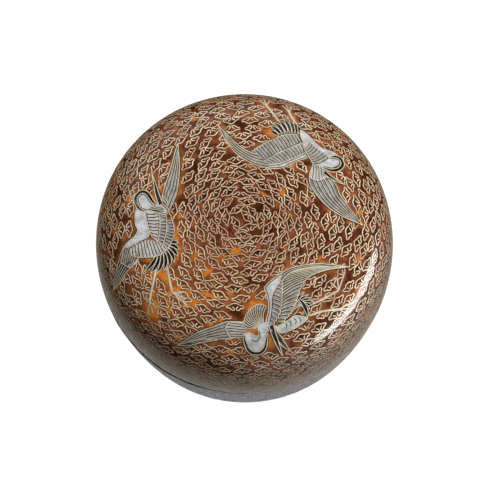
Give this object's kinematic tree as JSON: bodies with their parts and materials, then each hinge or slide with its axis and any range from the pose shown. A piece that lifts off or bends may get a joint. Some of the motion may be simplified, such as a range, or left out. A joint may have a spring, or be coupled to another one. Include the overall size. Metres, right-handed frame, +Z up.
{
  "type": "cloisonne box",
  "caption": "Round drum-shaped cloisonne box with a lift-off domed lid, cranes among clouds in gold wire on brown enamel.",
  "frame": {"origin": "middle of the foot ring's underside, on the surface the box stands on", "axes": "+Z up along the box's axis of turning, +Y away from the viewer of the picture, +X to the right"},
  "size_m": [0.09, 0.09, 0.068],
  "materials": {
    "lid_enamel": "polished glassy enamel, dark red-brown with amber flecks, over bright foil",
    "base_enamel": "polished glassy enamel, dark red-brown with fine pits, plainer on the inside and underside",
    "white_enamel": "polished opaque white enamel",
    "black_enamel": "polished opaque black enamel",
    "gilt_wire": "pale gilt wire ground flush with the enamel"
  },
  "bodies": {
    "root": {"base": "base_enamel", "lid": "lid_enamel"}
  },
  "joints": []
}
